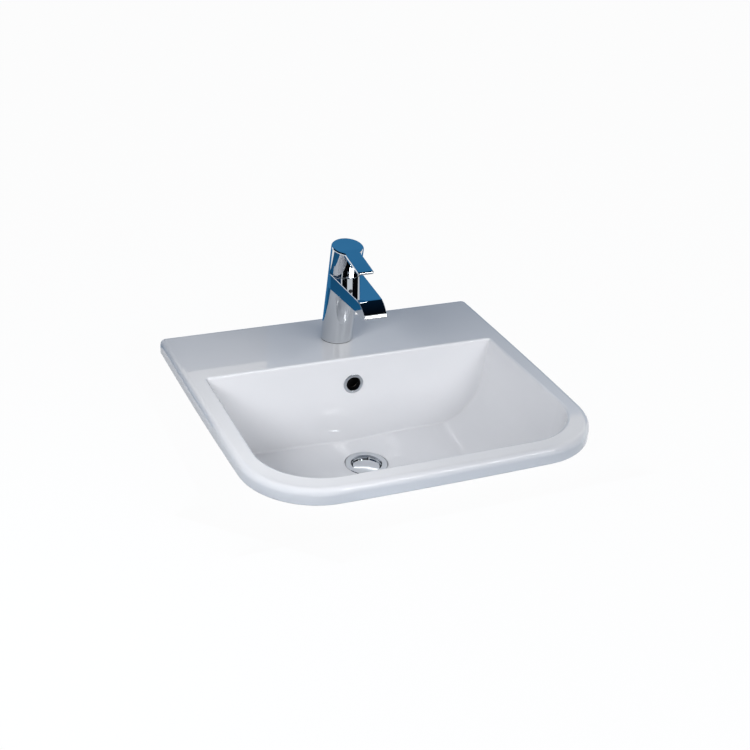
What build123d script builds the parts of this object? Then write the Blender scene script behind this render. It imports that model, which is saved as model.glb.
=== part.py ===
from build123d import *
import os
from math import acos, atan2, cos, degrees, hypot, radians, sin, tan

# Inset basin with a leaning mixer tap and a click waste, in millimetres.
# X runs to the right, Y to the back and Z up. The origin is the middle of the worktop cut-out,
# on the worktop's surface, so the rim of the basin stands on Z = 0.

# How far a cut or a rib runs on past the face that it meets, and how close two numbers count as equal.
OVERLAP = 1.0
TOLERANCE = 0.01

# Rim: a flat china slab with a turned-down edge.
RIM_TOP = 22.0
RIM_HALF_WIDTH = 250.0
RIM_BACK = 230.0
RIM_CORNER_START = (244.4, -133.0)
RIM_TOE_IN = radians(2.3)
RIM_FRONT_RADIUS = 101.0
RIM_FRONT_SLOPE = radians(1.15)
RIM_BACK_RADIUS = 9.0
RIM_TOP_ROUND = 8.5
RIM_FOOT_ROUND = 2.0
RIM_FOOT_WIDTH = 12.0
DECK_THICKNESS = 12.0

# Bowl: straight walls on a wide sweep, with an upright back wall.
BOWL_HALF_WIDTH = 220.0
BOWL_BACK = 87.5
BOWL_FRONT = -202.0
BOWL_DEPTH = 134.0
BOWL_WALL = 10.0
BOWL_LIP_ROUND = 3.5
WALL_DRAFT = radians(5.7)
BACK_DRAFT = radians(1.0)
SWEEP_RADIUS = 80.0
CREASE_RADIUS = 3.0
DISH_RADIUS = 125.0
DISH_DROP = 13.0

# Waste outlet in the bowl and the overflow that joins it.
WASTE_Y = 23.5
FLANGE_TOP = -119.0
SEAT_RADIUS = 32.0
SEAT_FLOOR = FLANGE_TOP - 5.0
SEAT_CONE_RADIUS = 26.5
WASTE_HOLE_RADIUS = 22.5
BOSS_RADIUS = 38.0
BOSS_FLARE_RADIUS = 56.0
BOSS_SHOULDER_RADIUS = 40.0
BOSS_SHOULDER_Z = -134.0
BOSS_BOTTOM = -148.0
OVERFLOW_Z = -20.0
OVERFLOW_HOLE_RADIUS = 12.0
RING_RADIUS = 15.0
RING_BORE_RADIUS = 10.6
RING_THICKNESS = 2.0
RING_ROUND = 0.9
RING_SLEEVE_RADIUS = 11.85
RING_SLEEVE_LENGTH = 8.0
DUCT_WIDTH = 40.0
DUCT_DEPTH = 11.0
DUCT_WALL = 6.0
DUCT_CORNER_RADIUS = 5.0
DUCT_TOP = -4.0
DUCT_CEILING = -131.0
DUCT_FLOOR = -139.0

# Tap: its axis leans to the front from a point on the deck.
TAP_Y = 158.0
TAP_HOLE_RADIUS = 17.5
TAP_LEAN = radians(9.7)
GASKET_THICKNESS = 1.0
GASKET_RADIUS = 23.2
GASKET_BORE_RADIUS = 18.5
BODY_FOOT_RADIUS = 23.6
BODY_START = -6.0
BODY_TOP_RADIUS = 23.2
BODY_INNER_RADIUS = 20.0
BODY_CEILING = 72.0
SHOULDER = 117.6
NECK_RADIUS = 18.6
NECK_TOP = 123.0
PIVOT = 122.5

# Spout: a flat top that rolls over into the nose. Its flanks leave the sides of the body and draw in.
SPOUT_LEVEL = 84.0
NOSE_HALF_WIDTH = 16.5
NOSE_REACH = 119.0
SPOUT_TOP_SLOPE = radians(2.5)
SPOUT_ROOT = (115.2, 134.0)
SPOUT_UNDERSIDE = 112.0
SPOUT_OVERLAP = 30.0
NOSE_START_Y = 49.0
NOSE_END = (21.7, 115.0)
LIP_ROUND = 1.8
SPOUT_EDGE_ROUND = 0.8
SPOUT_BORE_RADIUS = 4.0

# Aerator in the underside of the spout.
AERATOR_Y = 43.0
AERATOR_CAP_RADIUS = 12.0
AERATOR_CAP_HEIGHT = 3.0
AERATOR_THREAD_RADIUS = 11.0
AERATOR_THREAD_HEIGHT = 9.5
AERATOR_BORE_RADIUS = 8.5
AERATOR_CHAMBER_RADIUS = 7.5
AERATOR_CHAMBER_HEIGHT = 13.0
WASHER_THICKNESS = 1.5
JET_RADIUS = 1.1
JET_CIRCLES = ((3.0, 6), (6.0, 12))
KNURL_RADIUS = 0.5
KNURL_COUNT = 24
INSERT_RECESS = 2.0

# Water ways of the tap. Ports and outlet are in the cross plane of its axis.
INLET_X = 8.5
INLET_Y = 152.0
INLET_RADIUS = 4.5
SOCKET_DEPTH = 12.0
PORT_X = 5.0
PORT_Y = -3.0
PORT_RADIUS = 2.2
OUTLET_Y = 5.0
OUTLET_RADIUS = 2.6
RELIEF_DEPTH = 2.0

# Cartridge, stacked along the tap axis. Each level is a distance from the deck.
CARTRIDGE_RADIUS = 15.0
SEAL_LEVEL = 95.0
BASE_LEVEL = 96.0
RELIEF_LEVEL = 97.5
RELIEF_HEIGHT = 4.5
OUTLET_HEIGHT = 3.0
FIXED_DISC_LEVEL = 101.5
MOVING_DISC_LEVEL = 104.5
CARRIER_LEVEL = 107.5
BALL_LEVEL = 110.0
CARRIER_TOP = 111.0
TURRET_LEVEL = 111.3
FLANGE_LEVEL_TOP = 113.8
HOUSING_CEILING = 114.0
HOUSING_TOP = 117.0
HOUSING_NECK_TOP = 121.0
TURRET_TOP = 126.0
HOUSING_INNER_RADIUS = 13.4
HOUSING_NECK_RADIUS = 12.0
FIXED_DISC_RADIUS = 10.6
MOVING_DISC_RADIUS = 8.9
MOVING_DISC_Y = 2.0
MIXING_DEPTH = 1.5
MIXING_SIZE = (13.0, 8.5)
MIXING_CORNER = 3.5
MIXING_Y = 4.0
TURRET_FLANGE_RADIUS = 13.1
TURRET_RADIUS = 9.5
SLOT_FRONT = -7.6
SLOT_BACK = 4.8
BALL_RADIUS = 2.3
BALL_NECK_RADIUS = 1.6
SPINDLE_FOOT = 113.0
SPINDLE_STEP = 128.5
SPINDLE_TOP = 146.0
SPINDLE_SIDE = 6.0
SPINDLE_HEAD_SIDE = 7.0
PIN_RADIUS = 1.5
PIN_HALF_LENGTH = 9.3
NUT_RADIUS = 15.9
NUT_BORE_RADIUS = 12.3
NUT_CROWN_RADIUS = 15.0
NUT_NOTCH_WIDTH = 4.0
RUNNING_GAP = 0.1
SNUG_GAP = 0.05
DOME_RADIUS = 20.3
DOME_INNER_RADIUS = 19.1
DOME_TOP = 130.5

# Handle: a cap with a skirt and a flat lever.
SKIRT_LEVEL = 118.4
SKIRT_RADIUS = 23.2
SKIRT_INNER_RADIUS = 21.0
HANDLE_TOP = 157.0
HANDLE_ROUND = 2.2
CAP_THICKNESS = 5.0
LEVER_HALF_WIDTH = 12.1
LEVER_REACH = 71.0
LEVER_TIP_THICKNESS = 3.4
LEVER_CORNER_RADIUS = 3.0
HUB_RADIUS = 8.0
HUB_LEVEL = 130.5
RELIEF_START = 2.5
RELIEF_SLOPE = radians(20.6)
SCREW_LEVEL = 137.0
SCREW_RADIUS = 2.5
SCREW_BOSS_RADIUS = 4.5
SCREW_FRONT = -21.5
SCREW_SOCKET_RADIUS = 1.4
SCREW_SOCKET_DEPTH = 2.5
PLUG_RADIUS = 3.0
PLUG_FRONT = -23.6
PLUG_ROUND = 0.4

# Fixings of the tap under the deck.
STUD_Y = 164.0
STUD_RADIUS = 4.0
STUD_TOP = 83.0
STUD_BOTTOM = -45.0
HORSESHOE_RADIUS = 25.0
HORSESHOE_SLOT_HALF_WIDTH = 14.5
HORSESHOE_SLOT_END = 157.5
HORSESHOE_RUBBER = 3.0
HORSESHOE_PLATE = 2.0
STUD_NUT_HEIGHT = 8.0
STUD_NUT_FLATS = 13.0
STUD_CHAMFER = 0.8

# Click waste: a slotted tube with a flange, and a disc that rises to open it.
TUBE_RADIUS = 20.95
TUBE_NECK_RADIUS = 20.7
TUBE_BORE_RADIUS = 17.5
TAIL_TOP = -162.0
TUBE_BOTTOM = -200.0
FLANGE_RADIUS = 31.0
FLANGE_EDGE = 0.6
FLANGE_THICKNESS = 3.0
THROAT_RADIUS = 22.6
THROAT_WALL = 2.2
THROAT_TAPER = 0.3
THROAT_SEAT = FLANGE_TOP - 3.6
THROAT_BOTTOM = FLANGE_TOP - 12.2
SLOT_WIDTH = 20.0
SLOT_BOTTOM = -141.0
SEAL_INNER_RADIUS = 26.0
SEAL_OUTER_RADIUS = 30.0
PLUG_DISC_RADIUS = 19.6
PLUG_DISC_TOP = FLANGE_TOP - 4.0
PLUG_DISC_THICKNESS = 1.6
PLUG_DOME = 1.4
PLUG_EDGE_ROUND = 0.5
PLUG_BOSS_RADIUS = 5.0
PLUG_BOSS_HEIGHT = 6.4
PLUG_SEAL_THICKNESS = 1.6
PLUG_SEAL_LIP = 1.0
BRIDGE_TOP = -152.0
BRIDGE_THICKNESS = 6.0
BRIDGE_HUB_RADIUS = 9.5
BRIDGE_RIB_WIDTH = 3.0
CLICK_RADIUS = 6.0
CLICK_BORE_RADIUS = 4.0
CLICK_COLLAR_RADIUS = 8.5
CLICK_COLLAR_HEIGHT = 2.0
CLICK_TOP = -142.0
CLICK_FLOOR = -170.0
CLICK_BOTTOM = -174.0
STEM_THREAD_RADIUS = 3.0
STEM_THREAD_TOP = -126.5
STEM_SHOULDER = -136.0
STEM_BOTTOM = -160.0
SPRING_RADIUS = 3.2
SPRING_WIRE_RADIUS = 0.5
SPRING_TURNS = 6
LOWER_SEAL_RADIUS = 30.0
LOWER_SEAL_THICKNESS = 3.0
BACKNUT_RADIUS = 27.0
BACKNUT_HEIGHT = 10.0
BACKNUT_LUG_LENGTH = 3.0
BACKNUT_LUG_WIDTH = 8.0

os.makedirs("parts", exist_ok=True)

tap_axis = Vector(0, -sin(TAP_LEAN), cos(TAP_LEAN))
tap_base = Vector(0, TAP_Y, RIM_TOP)
tap_middle = Plane(origin=tap_base, x_dir=(0, cos(TAP_LEAN), sin(TAP_LEAN)), z_dir=(1, 0, 0))
waste_axis = Axis((0, WASTE_Y, 0), (0, 0, 1))
overflow_plane = Plane(
    origin=(0, BOWL_BACK - (RIM_TOP - OVERFLOW_Z) * tan(BACK_DRAFT), OVERFLOW_Z),
    x_dir=(-1, 0, 0),
    z_dir=(0, 1, -tan(BACK_DRAFT)),
)


def tap_plane(level):
    """Plane square to the tap axis, at a distance from the deck. Its local Y runs to the back."""
    return Plane(origin=tap_base + tap_axis * level, x_dir=(1, 0, 0), z_dir=tap_axis)


def tap_point(x, y, level):
    """Point given across the tap axis and along it."""
    return tap_plane(level).from_local_coords(Vector(x, y, 0))


def tap_level(point):
    """Distance of a point from the deck, along the tap axis."""
    return (point - tap_base).dot(tap_axis)


def bore(start, end, radius):
    """Straight round bore from one point to another."""
    direction = end - start
    with BuildPart() as drilled:
        with BuildSketch(Plane(origin=start, z_dir=direction)):
            Circle(radius)
        extrude(amount=direction.length)
    return drilled.part


def rim_outline(inset):
    """Plan of the rim, moved inwards by inset.

    The sides start square to the back and toe in to the front corners, and the front bows out
    a little. Curve and arc share their direction at each joint.
    """
    side_x = RIM_HALF_WIDTH - inset
    back_y = RIM_BACK - inset
    back_radius = max(RIM_BACK_RADIUS - inset, 1.0)
    corner = (
        RIM_CORNER_START[0] - inset * cos(RIM_TOE_IN),
        RIM_CORNER_START[1] + inset * sin(RIM_TOE_IN),
    )
    side_knee = (side_x, corner[1] + (side_x - corner[0]) / tan(RIM_TOE_IN))
    turn = 90 - degrees(RIM_TOE_IN + RIM_FRONT_SLOPE)
    with BuildSketch() as outline:
        with BuildLine():
            Line((0, back_y), (side_x - back_radius, back_y))
            JernArc((side_x - back_radius, back_y), (1, 0), back_radius, -90)
            Bezier((side_x, back_y - back_radius), side_knee, corner)
            bend = JernArc(
                corner, (-sin(RIM_TOE_IN), -cos(RIM_TOE_IN)), RIM_FRONT_RADIUS - inset, -turn
            )
            front = bend @ 1
            front_y = front.Y - front.X * tan(RIM_FRONT_SLOPE) / 2
            Bezier(front, (front.X / 2, front_y), (0, front_y))
            Line((0, front_y), (0, back_y))
        make_face()
        mirror(about=Plane.YZ)
    return outline.sketch


def bowl_form(wall):
    """Trough of the bowl, grown on all sides by a wall thickness. Zero gives the hollow itself.

    One profile of draft line and sweep runs along both sides and the front, and turns about an
    upright axis in each front corner.
    """
    floor = RIM_TOP - BOWL_DEPTH
    centre = floor + SWEEP_RADIUS
    radius = SWEEP_RADIUS + wall
    knee_drop = RIM_TOP - centre + SWEEP_RADIUS * sin(WALL_DRAFT)
    reach = SWEEP_RADIUS * cos(WALL_DRAFT) + knee_drop * tan(WALL_DRAFT)
    core_x = BOWL_HALF_WIDTH - reach
    core_y = BOWL_FRONT + reach
    back_y = BOWL_BACK + wall
    bottom = centre - radius
    lip = reach + wall / cos(WALL_DRAFT)
    knee = (radius * cos(WALL_DRAFT), centre - radius * sin(WALL_DRAFT))
    belly_angle = (WALL_DRAFT + radians(90)) / 2
    belly = (radius * cos(belly_angle), centre - radius * sin(belly_angle))

    def profile(start, side):
        """Wall section that begins at start and runs outwards, to one side."""
        with BuildLine() as wall_line:
            Line((start + side * lip, RIM_TOP), (start + side * knee[0], knee[1]))
            ThreePointArc(
                (start + side * knee[0], knee[1]),
                (start + side * belly[0], belly[1]),
                (start, bottom),
            )
        return wall_line.line

    with BuildPart() as form:
        with BuildSketch(Plane.XZ.offset(-back_y - wall - CREASE_RADIUS)):
            with BuildLine():
                add(profile(core_x, 1))
                Polyline((core_x, bottom), (0, bottom), (0, RIM_TOP), (core_x + lip, RIM_TOP))
            make_face()
            mirror(about=Plane.YZ)
        extrude(amount=back_y + wall + CREASE_RADIUS - core_y)
        with BuildSketch(Plane.YZ.offset(-core_x)):
            with BuildLine():
                add(profile(core_y, -1))
                Polyline((core_y, bottom), (0, bottom), (0, RIM_TOP), (core_y - lip, RIM_TOP))
            make_face()
        extrude(amount=2 * core_x)
        for side in (-1, 1):
            with BuildSketch(Plane.XZ.offset(-core_y)):
                with BuildLine():
                    add(profile(side * core_x, side))
                    Polyline(
                        (side * core_x, bottom),
                        (side * core_x, RIM_TOP),
                        (side * (core_x + lip), RIM_TOP),
                    )
                make_face()
            revolve(axis=Axis((side * core_x, core_y, 0), (0, 0, 1)))
        if wall == 0:
            with BuildSketch(Plane.XZ.offset(-WASTE_Y)):
                with BuildLine():
                    TangentArc((DISH_RADIUS, floor), (0, floor - DISH_DROP), tangent=(-1, 0))
                    Polyline((0, floor - DISH_DROP), (0, floor), (DISH_RADIUS, floor))
                make_face()
            revolve(axis=waste_axis)
        back = Plane(origin=(0, back_y, RIM_TOP), z_dir=(0, 1, -tan(BACK_DRAFT)))
        split(bisect_by=back, keep=Keep.BOTTOM)
        crease = form.edges().filter_by(
            lambda edge: (edge @ 0.5).Z < RIM_TOP - OVERLAP
            and all(abs(back.to_local_coords(edge @ u).Z) < TOLERANCE for u in (0, 0.5, 1))
        )
        fillet(crease, CREASE_RADIUS + wall)
    return form.part


# Basin: one casting of rim, bowl, waste boss and overflow duct.
duct_middle = BOWL_BACK + BOWL_WALL + DUCT_DEPTH / 2
duct_outer = DUCT_WIDTH + 2 * DUCT_WALL
with BuildPart() as basin:
    with BuildSketch():
        add(rim_outline(0))
    extrude(amount=RIM_TOP)
    fillet(basin.edges().group_by(Axis.Z)[-1], RIM_TOP_ROUND)
    fillet(basin.edges().group_by(Axis.Z)[0], RIM_FOOT_ROUND)
    with BuildSketch():
        add(rim_outline(RIM_FOOT_WIDTH))
    extrude(amount=RIM_TOP - DECK_THICKNESS, mode=Mode.SUBTRACT)
    add(bowl_form(BOWL_WALL))
    with BuildSketch(Plane.XZ.offset(-WASTE_Y)):
        with BuildLine():
            Polyline(
                (0, FLANGE_TOP),
                (BOSS_FLARE_RADIUS, FLANGE_TOP),
                (BOSS_FLARE_RADIUS, SEAT_FLOOR),
                (BOSS_SHOULDER_RADIUS, BOSS_SHOULDER_Z),
                (BOSS_RADIUS, BOSS_BOTTOM),
                (0, BOSS_BOTTOM),
                (0, FLANGE_TOP),
            )
        make_face()
    revolve(axis=waste_axis)
    with BuildSketch(Plane.XY.offset(DUCT_FLOOR - DUCT_WALL)):
        with Locations((0, duct_middle)):
            RectangleRounded(duct_outer, DUCT_DEPTH + 2 * DUCT_WALL, DUCT_WALL)
    extrude(amount=RIM_TOP - DECK_THICKNESS - DUCT_FLOOR + DUCT_WALL)
    with BuildSketch(Plane.XY.offset(DUCT_FLOOR - DUCT_WALL)):
        with Locations((0, (duct_middle + WASTE_Y) / 2)):
            Rectangle(duct_outer, duct_middle - WASTE_Y)
    extrude(amount=SEAT_FLOOR - DUCT_FLOOR + DUCT_WALL)
    add(bowl_form(0), mode=Mode.SUBTRACT)
    with BuildSketch(Plane.XY.offset(DUCT_FLOOR)):
        with Locations((0, duct_middle)):
            RectangleRounded(DUCT_WIDTH, DUCT_DEPTH, DUCT_CORNER_RADIUS)
    extrude(amount=DUCT_TOP - DUCT_FLOOR, mode=Mode.SUBTRACT)
    with BuildSketch(Plane.XY.offset(DUCT_FLOOR)):
        with Locations((0, (duct_middle + WASTE_Y) / 2)):
            Rectangle(DUCT_WIDTH - DUCT_DEPTH, duct_middle - WASTE_Y)
    extrude(amount=DUCT_CEILING - DUCT_FLOOR, mode=Mode.SUBTRACT)
    with BuildSketch(overflow_plane):
        Circle(OVERFLOW_HOLE_RADIUS)
    extrude(amount=BOWL_WALL + DUCT_DEPTH / 2, mode=Mode.SUBTRACT)
    with BuildSketch(Plane.XZ.offset(-WASTE_Y)):
        with BuildLine():
            Polyline(
                (0, FLANGE_TOP + DISH_DROP),
                (SEAT_RADIUS, FLANGE_TOP + DISH_DROP),
                (SEAT_RADIUS, SEAT_FLOOR),
                (SEAT_CONE_RADIUS, SEAT_FLOOR),
                (WASTE_HOLE_RADIUS, DUCT_CEILING),
                (WASTE_HOLE_RADIUS, BOSS_BOTTOM),
                (0, BOSS_BOTTOM),
                (0, FLANGE_TOP + DISH_DROP),
            )
        make_face()
    revolve(axis=waste_axis, mode=Mode.SUBTRACT)
    with Locations((0, TAP_Y, RIM_TOP)):
        Hole(TAP_HOLE_RADIUS, depth=DECK_THICKNESS)
    bowl_lip = basin.edges().filter_by(
        lambda edge: abs((edge @ 0.5).Z - RIM_TOP) < TOLERANCE
        and abs((edge @ 0.5).X) < BOWL_HALF_WIDTH + OVERLAP
        and BOWL_FRONT - OVERLAP < (edge @ 0.5).Y < BOWL_BACK + OVERLAP
    )
    fillet(bowl_lip, BOWL_LIP_ROUND)
basin.part.label = "basin"

# Chrome ring that lines the overflow hole.
with BuildPart() as overflow_ring:
    with BuildSketch(overflow_plane):
        Circle(RING_RADIUS)
    extrude(amount=-RING_THICKNESS)
    with BuildSketch(overflow_plane):
        Circle(RING_SLEEVE_RADIUS)
    extrude(amount=RING_SLEEVE_LENGTH)
    with BuildSketch(overflow_plane.offset(-RING_THICKNESS)):
        Circle(RING_BORE_RADIUS)
    extrude(amount=BOWL_WALL, mode=Mode.SUBTRACT)
    fillet(overflow_ring.edges().filter_by(GeomType.CIRCLE).group_by(Axis.Y)[0], RING_ROUND)
overflow_ring.part.label = "overflow_ring"

# Spout: side profile with a rolled nose, cut to a plan whose flanks are tangent to the body.
nose_start = (NOSE_START_Y, SPOUT_ROOT[1] - (SPOUT_ROOT[0] - NOSE_START_Y) * tan(SPOUT_TOP_SLOPE))
spout_back = (SPOUT_ROOT[0] + SPOUT_OVERLAP, SPOUT_ROOT[1] + SPOUT_OVERLAP * tan(SPOUT_TOP_SLOPE))
flank_turn = atan2(NOSE_REACH, NOSE_HALF_WIDTH) - acos(BODY_TOP_RADIUS / hypot(NOSE_REACH, NOSE_HALF_WIDTH))
flank_start = (BODY_TOP_RADIUS * cos(flank_turn), -BODY_TOP_RADIUS * sin(flank_turn))
with BuildPart() as spout:
    with BuildSketch(Plane.YZ) as spout_side:
        with BuildLine():
            Line(spout_back, nose_start)
            nose = TangentArc(
                nose_start, NOSE_END, tangent=(-cos(SPOUT_TOP_SLOPE), -sin(SPOUT_TOP_SLOPE))
            )
            roll = nose % 1
            lip = nose @ 1 + roll * ((SPOUT_UNDERSIDE - NOSE_END[1]) / roll.Y)
            Polyline(nose @ 1, lip, (spout_back[0], SPOUT_UNDERSIDE), spout_back)
        make_face()
        fillet(spout_side.vertices().sort_by_distance(lip)[0], LIP_ROUND)
    extrude(amount=BODY_TOP_RADIUS + OVERLAP, both=True)
    with BuildSketch(tap_plane(0)):
        with BuildLine():
            nose_corner = (
                NOSE_HALF_WIDTH - OVERLAP * sin(flank_turn),
                -NOSE_REACH - OVERLAP * cos(flank_turn),
            )
            Polyline((0, 0), flank_start, nose_corner, (0, nose_corner[1]), (0, 0))
        make_face()
        mirror(about=Plane.YZ)
    extrude(amount=HANDLE_TOP, mode=Mode.INTERSECT)
    flanks = spout.faces().filter_by(
        lambda face: abs(abs(face.normal_at().X) - cos(flank_turn)) < TOLERANCE
    )
    flank_edges = flanks.edges().filter_by(
        lambda edge: tap_plane(0).to_local_coords(edge @ 0.5).Y < flank_start[1] - OVERLAP
    )
    fillet(flank_edges, SPOUT_EDGE_ROUND)

# Hollow in the foot of the body, where the supply tails and the stud come up.
with BuildPart() as body_hollow:
    with BuildSketch(tap_plane(BODY_START)):
        Circle(BODY_INNER_RADIUS)
    extrude(amount=BODY_CEILING)
    split(bisect_by=Plane.XY.offset(BODY_CEILING), keep=Keep.BOTTOM)

# Tap body: leaning hollow cylinder with the spout, the cartridge well and the water ways.
with BuildPart() as tap_body:
    with BuildSketch(tap_plane(BODY_START)):
        Circle(BODY_FOOT_RADIUS)
    with BuildSketch(tap_plane(SPOUT_LEVEL)):
        Circle(BODY_TOP_RADIUS)
    loft(ruled=True)
    with BuildSketch(tap_plane(SPOUT_LEVEL)):
        Circle(BODY_TOP_RADIUS)
    extrude(amount=SHOULDER - SPOUT_LEVEL)
    split(bisect_by=Plane.XY.offset(RIM_TOP + GASKET_THICKNESS), keep=Keep.TOP)
    add(spout.part)
    with BuildSketch(tap_plane(SHOULDER)):
        Circle(NECK_RADIUS)
    extrude(amount=NECK_TOP - SHOULDER)
    with BuildSketch(tap_plane(SEAL_LEVEL)):
        Circle(CARTRIDGE_RADIUS)
    extrude(amount=NECK_TOP - SEAL_LEVEL, mode=Mode.SUBTRACT)
    with BuildSketch(tap_plane(HOUSING_TOP - OVERLAP)):
        Circle(NUT_RADIUS)
    extrude(amount=NECK_TOP - HOUSING_TOP + OVERLAP, mode=Mode.SUBTRACT)
    with BuildSketch(tap_plane(RELIEF_LEVEL)):
        Circle(CARTRIDGE_RADIUS + RELIEF_DEPTH)
    extrude(amount=RELIEF_HEIGHT, mode=Mode.SUBTRACT)
    spout_mouth = tap_point(0, -CARTRIDGE_RADIUS, RELIEF_LEVEL + RELIEF_HEIGHT / 2)
    spout_end = Vector(0, AERATOR_Y, SPOUT_UNDERSIDE + AERATOR_THREAD_HEIGHT)
    add(bore(spout_mouth, spout_end, SPOUT_BORE_RADIUS), mode=Mode.SUBTRACT)
    with BuildSketch(Plane.XY.offset(SPOUT_UNDERSIDE)):
        with Locations((0, AERATOR_Y)):
            Circle(AERATOR_THREAD_RADIUS)
    extrude(amount=AERATOR_THREAD_HEIGHT, mode=Mode.SUBTRACT)
    with BuildSketch(Plane.XY.offset(SPOUT_UNDERSIDE)):
        with Locations((0, AERATOR_Y)):
            Circle(AERATOR_CHAMBER_RADIUS)
    extrude(amount=AERATOR_CHAMBER_HEIGHT, mode=Mode.SUBTRACT)
    for side in (-1, 1):
        socket = Vector(side * INLET_X, INLET_Y, BODY_CEILING)
        socket_end = socket + Vector(0, 0, SOCKET_DEPTH)
        add(bore(socket, socket_end, INLET_RADIUS), mode=Mode.SUBTRACT)
        port = tap_point(side * PORT_X, PORT_Y, SEAL_LEVEL)
        add(bore(socket_end - Vector(0, 0, OVERLAP), port, PORT_RADIUS), mode=Mode.SUBTRACT)
    stud_socket = Vector(0, STUD_Y, BODY_CEILING)
    stud_end = stud_socket + Vector(0, 0, SOCKET_DEPTH)
    add(bore(stud_socket, stud_end, STUD_RADIUS + SNUG_GAP), mode=Mode.SUBTRACT)
    add(body_hollow.part, mode=Mode.SUBTRACT)
tap_body.part.label = "tap_body"

# Flat gasket under the foot of the tap.
with BuildPart() as tap_gasket:
    with BuildSketch(Plane.XY.offset(RIM_TOP)):
        with Locations((0, TAP_Y)):
            Circle(GASKET_RADIUS)
            Circle(GASKET_BORE_RADIUS, mode=Mode.SUBTRACT)
    extrude(amount=GASKET_THICKNESS)
tap_gasket.part.label = "tap_gasket"

# Cartridge seal: rubber disc with a hole for each inlet.
with BuildPart() as cartridge_seal:
    with BuildSketch(tap_plane(SEAL_LEVEL)):
        Circle(CARTRIDGE_RADIUS - SNUG_GAP)
        with Locations((-PORT_X, PORT_Y), (PORT_X, PORT_Y)):
            Circle(PORT_RADIUS, mode=Mode.SUBTRACT)
    extrude(amount=BASE_LEVEL - SEAL_LEVEL)
cartridge_seal.part.label = "cartridge_seal"

# Cartridge base: passes the inlets up and leads the outlet to its back wall.
with BuildPart() as cartridge_base:
    with BuildSketch(tap_plane(BASE_LEVEL)):
        Circle(CARTRIDGE_RADIUS - SNUG_GAP)
        with Locations((-PORT_X, PORT_Y), (PORT_X, PORT_Y)):
            Circle(PORT_RADIUS, mode=Mode.SUBTRACT)
    extrude(amount=FIXED_DISC_LEVEL - BASE_LEVEL)
    with BuildSketch(tap_plane(RELIEF_LEVEL)):
        with Locations((0, OUTLET_Y)):
            Circle(OUTLET_RADIUS)
    extrude(amount=FIXED_DISC_LEVEL - RELIEF_LEVEL, mode=Mode.SUBTRACT)
    with BuildSketch(tap_plane(RELIEF_LEVEL)):
        with Locations((0, (OUTLET_Y + CARTRIDGE_RADIUS + OVERLAP) / 2)):
            Rectangle(2 * OUTLET_RADIUS, CARTRIDGE_RADIUS + OVERLAP - OUTLET_Y)
    extrude(amount=OUTLET_HEIGHT, mode=Mode.SUBTRACT)
cartridge_base.part.label = "cartridge_base"

# Fixed ceramic disc: two inlets in front, the outlet behind.
with BuildPart() as fixed_disc:
    with BuildSketch(tap_plane(FIXED_DISC_LEVEL)):
        Circle(FIXED_DISC_RADIUS)
        with Locations((-PORT_X, PORT_Y), (PORT_X, PORT_Y)):
            Circle(PORT_RADIUS, mode=Mode.SUBTRACT)
        with Locations((0, OUTLET_Y)):
            Circle(OUTLET_RADIUS, mode=Mode.SUBTRACT)
    extrude(amount=MOVING_DISC_LEVEL - FIXED_DISC_LEVEL)
fixed_disc.part.label = "fixed_disc"

# Moving ceramic disc: its underside holds the mixing chamber, clear of both inlets when closed.
with BuildPart() as moving_disc:
    with BuildSketch(tap_plane(MOVING_DISC_LEVEL)):
        with Locations((0, MOVING_DISC_Y)):
            Circle(MOVING_DISC_RADIUS)
    extrude(amount=CARRIER_LEVEL - MOVING_DISC_LEVEL)
    with BuildSketch(tap_plane(MOVING_DISC_LEVEL)):
        with Locations((0, MIXING_Y)):
            RectangleRounded(*MIXING_SIZE, MIXING_CORNER)
    extrude(amount=MIXING_DEPTH, mode=Mode.SUBTRACT)
moving_disc.part.label = "moving_disc"

# Disc carrier: plastic puck that the ball of the spindle pushes.
with BuildPart() as disc_carrier:
    with BuildSketch(tap_plane(CARRIER_LEVEL)):
        with Locations((0, MOVING_DISC_Y)):
            Circle(MOVING_DISC_RADIUS)
        Circle(BALL_RADIUS + RUNNING_GAP, mode=Mode.SUBTRACT)
    extrude(amount=CARRIER_TOP - CARRIER_LEVEL)
disc_carrier.part.label = "disc_carrier"

# Turret: turns with the handle and holds the pivot pin.
with BuildPart() as turret:
    with BuildSketch(tap_plane(TURRET_LEVEL)):
        Circle(TURRET_FLANGE_RADIUS)
    extrude(amount=FLANGE_LEVEL_TOP - TURRET_LEVEL)
    with BuildSketch(tap_plane(TURRET_LEVEL)):
        Circle(TURRET_RADIUS)
    extrude(amount=TURRET_TOP - TURRET_LEVEL)
    with BuildSketch(tap_plane(TURRET_LEVEL)):
        with Locations((0, (SLOT_FRONT + SLOT_BACK) / 2)):
            Rectangle(SPINDLE_SIDE + 2 * RUNNING_GAP, SLOT_BACK - SLOT_FRONT)
    extrude(amount=TURRET_TOP - TURRET_LEVEL, mode=Mode.SUBTRACT)
    pin_start = tap_point(-PIN_HALF_LENGTH, 0, PIVOT)
    pin_end = tap_point(PIN_HALF_LENGTH, 0, PIVOT)
    add(bore(pin_start, pin_end, PIN_RADIUS), mode=Mode.SUBTRACT)
turret.part.label = "turret"

# Pivot pin of the lever, across the turret.
with BuildPart() as pivot_pin:
    add(bore(pin_start, pin_end, PIN_RADIUS))
pivot_pin.part.label = "pivot_pin"

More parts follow.
